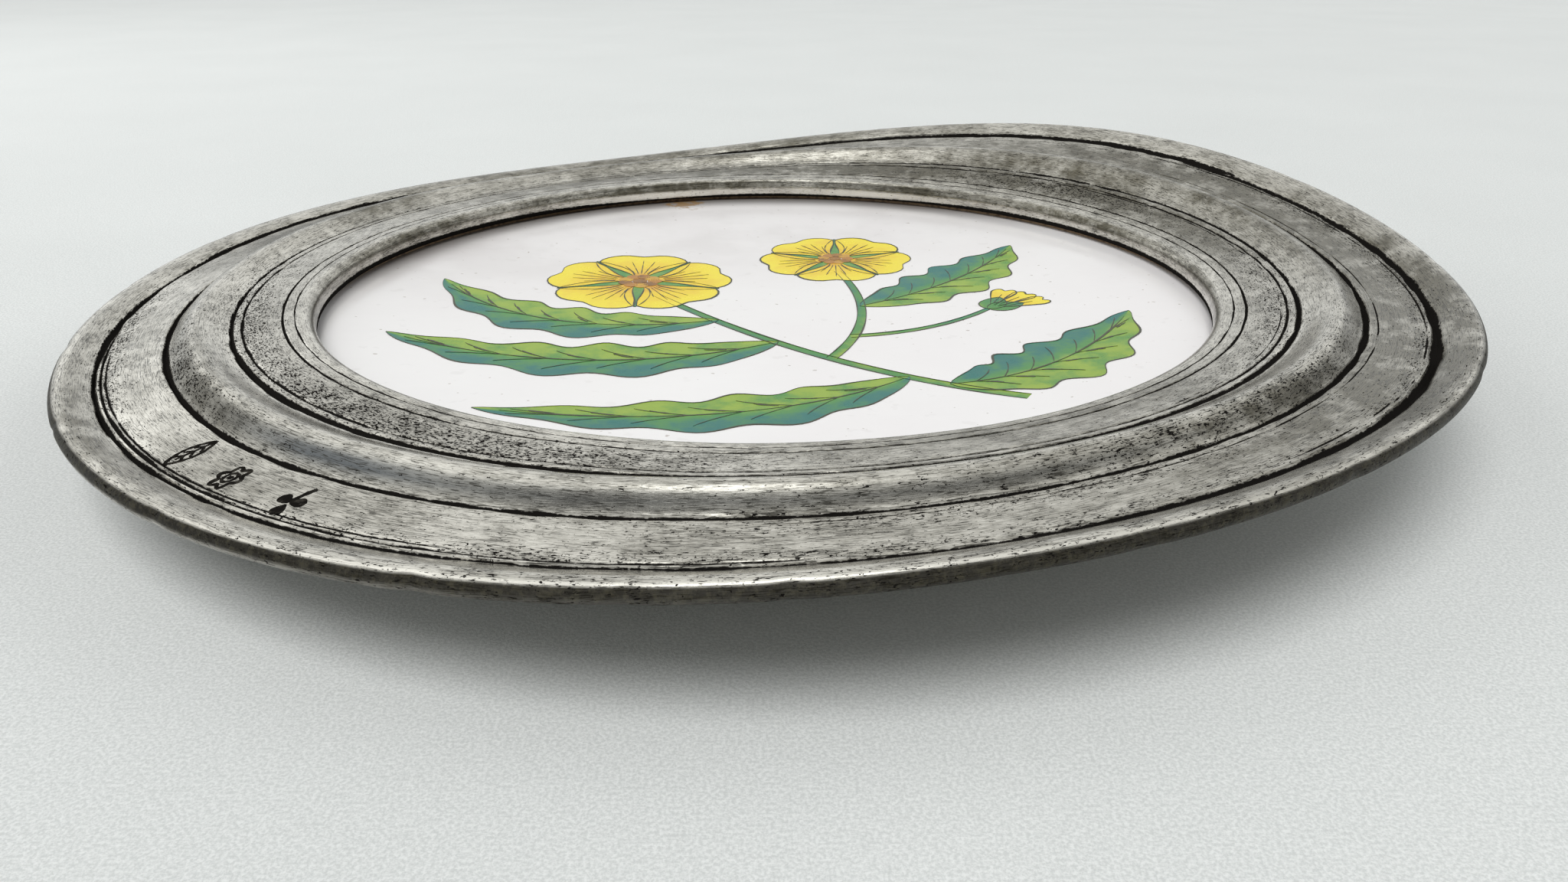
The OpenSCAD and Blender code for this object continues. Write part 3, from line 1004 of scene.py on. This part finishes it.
def pewter_material():
    """Worn pewter: stains, scratches, pits, crust, black cut lines, rough where cast, and painted highlights,
    shade and dark reflections.
    """
    g = material_graph("aged_pewter")
    polar = g.round_place()
    groove, cast, dull_and_lip_reflection, pitted = (g.value(name) for name in ("groove", "cast", "dull_and_lip_reflection", "pitted"))
    crust_and_shade, painted_reflection, painted_highlight = (g.value(name) for name in ("crust_and_shade", "painted_reflection", "painted_highlight"))
    blotch = g.span(g.noise(45, 5, 0.65), 0.34, 0.66)
    mottle = g.span(g.turned_noise(polar, 4.5, 2.0, 5, 0.65), 0.35, 0.68)
    streak = g.span(g.turned_noise(polar, 24, 0.5, 3, 0.6), 0.38, 0.68)
    grain = g.span(g.turned_noise(polar, 1.1, 0.17, 3, 0.65), 0.38, 0.62)
    tick_field = g.turned_noise(polar, 2.2, 0.11, 2, 0.5)
    ticks = g.span(g.blend(tick_field, (mottle, 0.07), (blotch, 0.05)), 0.61, 0.66)
    hairline = g.span(g.turned_noise(polar, 9, 0.1, 2, 0.5), 0.6, 0.67)
    fleck_field = g.turned_noise(polar, 0.9, 0.25, 3, 0.6)
    flecks = g.span(g.blend(fleck_field, (pitted, 0.13), (mottle, 0.05)), 0.682, 0.708)
    spots = g.span(g.blend(g.noise(2300, 3, 0.6), (pitted, 0.11), (mottle, 0.03)), 0.708, 0.738)
    ragged = g.span(g.turned_noise(polar, 1.0, 0.3, 3, 0.6), 0.25, 0.75, -0.4, 0.4)
    # Black patina in the cut lines, and dirt and painted shade low on the lip's wall
    cut = g.span(g.add(groove, g.times(ragged, groove)), 0.25, 0.5)
    dark = g.most(cut, g.most(flecks, spots))
    crumbs = g.span(g.noise(1100, 5, 0.75), 0.38, 0.56)
    patina = g.span(g.noise(120, 5, 0.7), 0.38, 0.62)
    # Dull patches and the lip's painted dark reflection pull the tone towards brown
    patch = g.math("MINIMUM", g.times(dull_and_lip_reflection, g.blend(0.55, (patina, 0.5), (mottle, 0.35))), 0.96)
    worn = g.blend(0, (blotch, 0.24), (mottle, 0.2), (streak, 0.1), (grain, 0.22))
    # Painted highlights take away the stains and scratches and leave the plain light pewter
    unhighlighted = g.rest(painted_highlight)
    stain = g.rest(g.times(g.rest(g.times(worn, unhighlighted)), g.rest(patch)))
    tone = g.mix(stain, PEWTER_LIGHT, PEWTER_BROWN)
    # Painted dark reflection, blue-grey, on the moulding
    tone = g.mix(g.times(painted_reflection, 0.92), tone, PEWTER_REFLECTION_BLUE)
    scratch = g.times(g.most(g.times(hairline, 0.62), g.times(ticks, 0.75)), unhighlighted)
    tone = g.mix(scratch, tone, PEWTER_SCRATCH)
    tone = g.mix(g.times(cast, 0.8), tone, g.mix(g.times(crumbs, blotch), CAST_LIGHT, CAST_DARK))
    # Dark crust with painted shade on the outer edge
    tone = g.mix(crust_and_shade, tone, g.mix(crumbs, CRUST_SHADE_LIGHT, CRUST_SHADE_DARK))
    tone = g.mix(dark, tone, PEWTER_BLACK)
    coarse = g.most(cast, crust_and_shade)
    g.bump(g.blend(0, (hairline, -0.3), (dark, -0.8), (grain, -0.15), (mottle, -0.1),
                   (g.times(crumbs, coarse), -1.5)), 0.022)
    rough = g.blend(0.12, (stain, 0.12), (hairline, 0.06), (dark, 0.4), (coarse, 0.25))
    metal = g.rest(g.most(g.times(dark, 0.95), g.times(crust_and_shade, 0.3)))
    return g.finish(Base_Color=tone, Metallic=metal, Roughness=rough, Specular_IOR_Level=0.0)


def ink_material():
    g = material_graph("mark_patina")
    grain = g.noise(900, 3, 0.6)
    tone = g.mix(g.span(grain, 0.45, 0.75), PEWTER_BLACK, (0.05, 0.046, 0.038))
    g.bump(grain, 0.03)
    return g.finish(Base_Color=tone, Roughness=g.span(grain, 0.3, 0.7, 0.55, 0.8), Specular_IOR_Level=0.0)


def glaze_material():
    """Off-white glaze with a painted reflection and a painted shadow that grey it at the left back, specks, a
    stain and a bare foot.
    """
    g = material_graph("off_white_glaze")
    x, y, z = g.split()
    cloud = g.span(g.noise(22, 4, 0.6), 0.35, 0.7)
    away = g.blend(y, (x, -0.4))
    smudge = g.times(g.span(g.noise(30, 4, 0.6), 0.42, 0.64), g.span(away, 0.01, 0.06))
    tone = g.mix(cloud, (0.865, 0.85, 0.845), (0.835, 0.81, 0.81))
    # Painted reflection of the rim: the glaze greys towards the left back, with smudges there
    reflection_grey = g.blend(g.span(away, -0.05, 0.08, 0.0, 0.3), (smudge, 0.25))
    tone = g.mix(reflection_grey, tone, (0.52, 0.49, 0.48))
    # Painted shadow of the lip on the dish's edge at the back
    lip_shadow = g.times(g.span(g.distance(x, y), 0.073, 0.0815), g.span(away, 0.02, 0.06))
    tone = g.mix(g.times(lip_shadow, 0.8), tone, (0.1, 0.085, 0.07))
    specks = g.span(g.noise(760, 1, 0.4), 0.765, 0.79)
    tone = g.mix(g.times(specks, 0.55), tone, (0.28, 0.22, 0.17))
    faint = g.span(g.noise(330, 2, 0.5), 0.64, 0.74)
    tone = g.mix(g.times(faint, 0.12), tone, (0.45, 0.42, 0.4))
    from_stain = g.distance(g.add(x, -STAIN_AT[0] * MM), g.add(y, -STAIN_AT[1] * MM))
    ragged = g.span(g.noise(420, 3, 0.6), 0.3, 0.7, -STAIN_RAGGED * MM, STAIN_RAGGED * MM)
    stain = g.span(g.add(from_stain, ragged), STAIN_FADE[0] * MM, STAIN_FADE[1] * MM, 1.0, 0.0)
    tone = g.mix(g.times(stain, 0.75), tone, (0.3, 0.17, 0.05))
    bare = g.math("LESS_THAN", z, BARE_Z * MM)
    tone = g.mix(bare, tone, g.mix(g.noise(260, 4, 0.6), (0.62, 0.5, 0.37), (0.75, 0.66, 0.54)))
    g.bump(g.blend(0, (g.noise(130, 2, 0.5), 0.15), (g.noise(34, 2, 0.5), 0.85)), 0.2)
    rough = g.blend(0.15, (cloud, 0.06), (bare, 0.55))
    return g.finish(Base_Color=tone, Roughness=rough)


def paint_material(name, low, middle, high, streak_scale):
    """Enamel that shades through three colours, with brush streaks and a thin gloss."""
    g = material_graph(name)
    streak = g.noise(streak_scale, 4, 0.65)
    shade = g.add(g.value("shade"), g.span(streak, 0.2, 0.8, -0.22, 0.22))
    tone = g.mix(g.span(shade, 0.0, 0.5), low, middle)
    tone = g.mix(g.span(shade, 0.5, 1.0), tone, high)
    g.bump(streak, 0.02)
    return g.finish(Base_Color=tone, Roughness=g.span(streak, 0.2, 0.8, 0.16, 0.3), Specular_IOR_Level=0.15)


def cork_material():
    g = material_graph("pressed_cork")
    cells = g.node("ShaderNodeTexVoronoi", {"Vector": g.place, "Scale": 900.0}).outputs["Distance"]
    tone = g.mix(g.span(cells, 0.1, 0.7), (0.16, 0.1, 0.06), (0.34, 0.23, 0.14))
    g.bump(cells, 0.1)
    return g.finish(Base_Color=tone, Roughness=g.span(cells, 0, 1, 0.75, 0.95))


def solder_material():
    g = material_graph("solder")
    cloud = g.noise(240, 4, 0.6)
    tone = g.mix(g.span(cloud, 0.35, 0.7), (0.58, 0.58, 0.56), (0.36, 0.36, 0.34))
    g.bump(cloud, 0.08)
    return g.finish(Base_Color=tone, Metallic=1.0, Roughness=g.span(cloud, 0.3, 0.7, 0.22, 0.42))


def brass_material():
    g = material_graph("dulled_brass")
    cloud = g.span(g.noise(170, 5, 0.65), 0.35, 0.7)
    pits = g.span(g.noise(1300, 2, 0.5), 0.64, 0.72)
    tone = g.mix(cloud, (0.58, 0.42, 0.16), (0.3, 0.2, 0.08))
    tone = g.mix(g.times(pits, 0.7), tone, (0.07, 0.05, 0.03))
    g.bump(g.blend(0, (cloud, 0.4), (pits, -0.6)), 0.03)
    rough = g.blend(0.28, (cloud, 0.18), (pits, 0.2))
    return g.finish(Base_Color=tone, Metallic=1.0, Roughness=rough)


def floor_material():
    g = material_graph("pale_paper")
    fibre = g.span(g.noise(2400, 3, 0.7), 0.34, 0.66)
    cloud = g.blend(0, (g.noise(14, 3, 0.5), 0.5), (g.noise(420, 3, 0.6), 0.5))
    tone = g.mix(g.blend(0, (fibre, 0.6), (cloud, 0.4)), (0.56, 0.58, 0.57), (0.85, 0.865, 0.855))
    g.bump(fibre, 0.015)
    return g.finish(Base_Color=tone, Roughness=g.span(fibre, 0.2, 0.8, 0.85, 0.95))


# Material, three colours and scale of the streaks of each painted piece
PAINTS = {
    "painted_leaves": ("green_enamel", (0.27, 0.4, 0.03), (0.06, 0.24, 0.05), (0.012, 0.15, 0.13), 190),
    "painted_petals": ("yellow_enamel", (0.62, 0.3, 0.01), (0.8, 0.58, 0.015), (0.84, 0.7, 0.03), 260),
    "painted_eyes": ("orange_enamel", (0.16, 0.07, 0.01), (0.42, 0.18, 0.015), (0.62, 0.36, 0.02), 300),
    "painted_lines": ("line_enamel", (0.012, 0.018, 0.008), (0.03, 0.033, 0.012), (0.07, 0.06, 0.02), 420),
}


# Assembly of the looks

def dress(piece, material, body, slot, *nodes):
    """Gives a piece its material and its body, and hides the nodes that it stands for. The slot is not used.
    """
    piece.data.materials.append(material)
    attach(piece, body)
    if nodes:
        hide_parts(*nodes)


pewter = pewter_material()
solder = solder_material()
brass = brass_material()
cork = cork_material()
dress(make_rim(), pewter, "plate", "pewter", "rim")
dress(make_marks(), ink_material(), "plate", "pewter")
dress(make_dish(), glaze_material(), "plate", "glazed_ceramic", "ceramic_dish")
for part, slabs in paint_sprig().items():
    dress(slabs.build(part), paint_material(*PAINTS[part]), "plate", "glazed_ceramic")
dress(make_ring(), pewter, "plate", "pewter", "retaining_ring")
dress(make_tacks(), solder, "plate", "solder", "solder_tacks")
dress(make_strap(), brass, "plate", "brass", "hanger_strap")
dress(make_fillets(), solder, "plate", "solder", "strap_solder")
dress(make_hanger(), brass, "hanger", "brass", "hanger_ring")
for bedding in ("front_bedding", "rear_bedding"):
    node = frame["nodes"][bedding]
    node.data.materials.clear()
    node.data.materials.append(cork)


# Stage and lights, with sizes in metres, and camera

FLOOR_REACH = 6.0
# The surroundings as matt surfaces and as polished ones get them: a level, and lights as a direction, the
# cosines between which they grow, and their added strength
SKY_LIGHT = (0.04, [
    ((-0.9, -0.4, 0.35), 0.7, 1.0, 1.5), ((0.5, -0.2, 1.0), 0.5, 1.0, 0.2),
    ((1.0, 0.5, 0.4), 0.7, 1.0, 1.6),
])
SKY_SHINE = (0.13, [
    ((0.0, 0.6, 0.8), 0.58, 0.7, 0.78), ((-0.1, 0.12, 1.0), 0.965, 0.99, 1.2),
    ((-1.0, 0.3, 0.6), 0.7, 1.0, 0.3), ((0.0, -1.0, 0.35), 0.45, 0.85, 0.55),
    ((-1.0, -0.15, 0.35), 0.75, 0.95, 0.55), ((1.0, -0.15, 0.35), 0.75, 0.95, 0.55),
    ((-0.7, 0.7, 0.12), 0.93, 0.985, 0.6), ((0.7, 0.7, 0.12), 0.93, 0.985, 0.45),
])
SKY_SEEN = 0.76
# Direction of the broad key light, and place and aim of the round panel at the left back
KEY_FROM = Vector((-0.22, -0.46, 1.0))
PANEL_AT = Vector((-0.65, 0.3, 0.6))
PANEL_AIM = Vector((-0.2, 0.1, 0.0))


def make_floor():
    corners = [(x * FLOOR_REACH, y * FLOOR_REACH, 0) for x, y in ((-1, -1), (1, -1), (1, 1), (-1, 1))]
    mesh = bpy.data.meshes.new("floor")
    mesh.from_pydata(corners, [], [(0, 1, 2, 3)])
    mesh.materials.append(floor_material())
    floor = add_object("floor", mesh)


def sky_level(g, level, lobes):
    """Strength of the surroundings in each direction."""
    for direction, low, high, gain in lobes:
        inputs = {0: g.place, 1: Vector(direction).normalized()}
        dot = g.node("ShaderNodeVectorMath", inputs, operation="DOT_PRODUCT").outputs["Value"]
        level = g.add(g.span(dot, low, high, 0.0, gain), level)
    return level


def make_world():
    """Soft light from the left, above and right back, and a pale wall and lights that the metal shows."""
    g = Graph(bpy.data.worlds.new("surroundings"), "Background", "Generated")
    ray = g.node("ShaderNodeLightPath", {}).outputs
    shine, seen = ray["Is Glossy Ray"], ray["Is Camera Ray"]
    matt = g.rest(g.add(shine, seen))
    shown, lit = sky_level(g, *SKY_SHINE), sky_level(g, *SKY_LIGHT)
    strength = g.blend(0, (seen, SKY_SEEN), (shine, shown), (matt, lit))
    bpy.context.scene.world = g.finish(Color=(0.98, 1.0, 0.99), Strength=strength)


def make_light(name, kind, towards, **settings):
    """A soft light from a direction, which doesn't show in the metal."""
    made = add_object(name, bpy.data.lights.new(name, kind))
    for key, value in settings.items():
        setattr(made.data, key, value)
    made.rotation_mode = "QUATERNION"
    made.rotation_quaternion = towards.to_track_quat("Z", "Y")
    made.visible_glossy = False
    return made


def make_camera():
    data = bpy.data.cameras.new("camera")
    data.sensor_fit = "HORIZONTAL"
    data.sensor_width = 36
    data.lens = CAMERA_LENS
    data.clip_start = 0.01
    data.clip_end = 50
    camera = add_object("camera", data)
    camera.location = Vector(CAMERA_AT) * MM
    look = (Vector(CAMERA_AIM) - Vector(CAMERA_AT)).to_track_quat("-Z", "Y")
    camera.rotation_mode = "QUATERNION"
    camera.rotation_quaternion = look @ Quaternion((0, 0, 1), math.radians(CAMERA_ROLL))
    bpy.context.scene.camera = camera


make_floor()
make_world()
make_light("key", "SUN", KEY_FROM, angle=math.radians(40), energy=1.95)
panel = make_light("back", "AREA", PANEL_AT - PANEL_AIM, shape="DISK", size=0.8, energy=1.5)
panel.location = PANEL_AT
make_camera()
bpy.context.scene.view_settings.view_transform = "Standard"
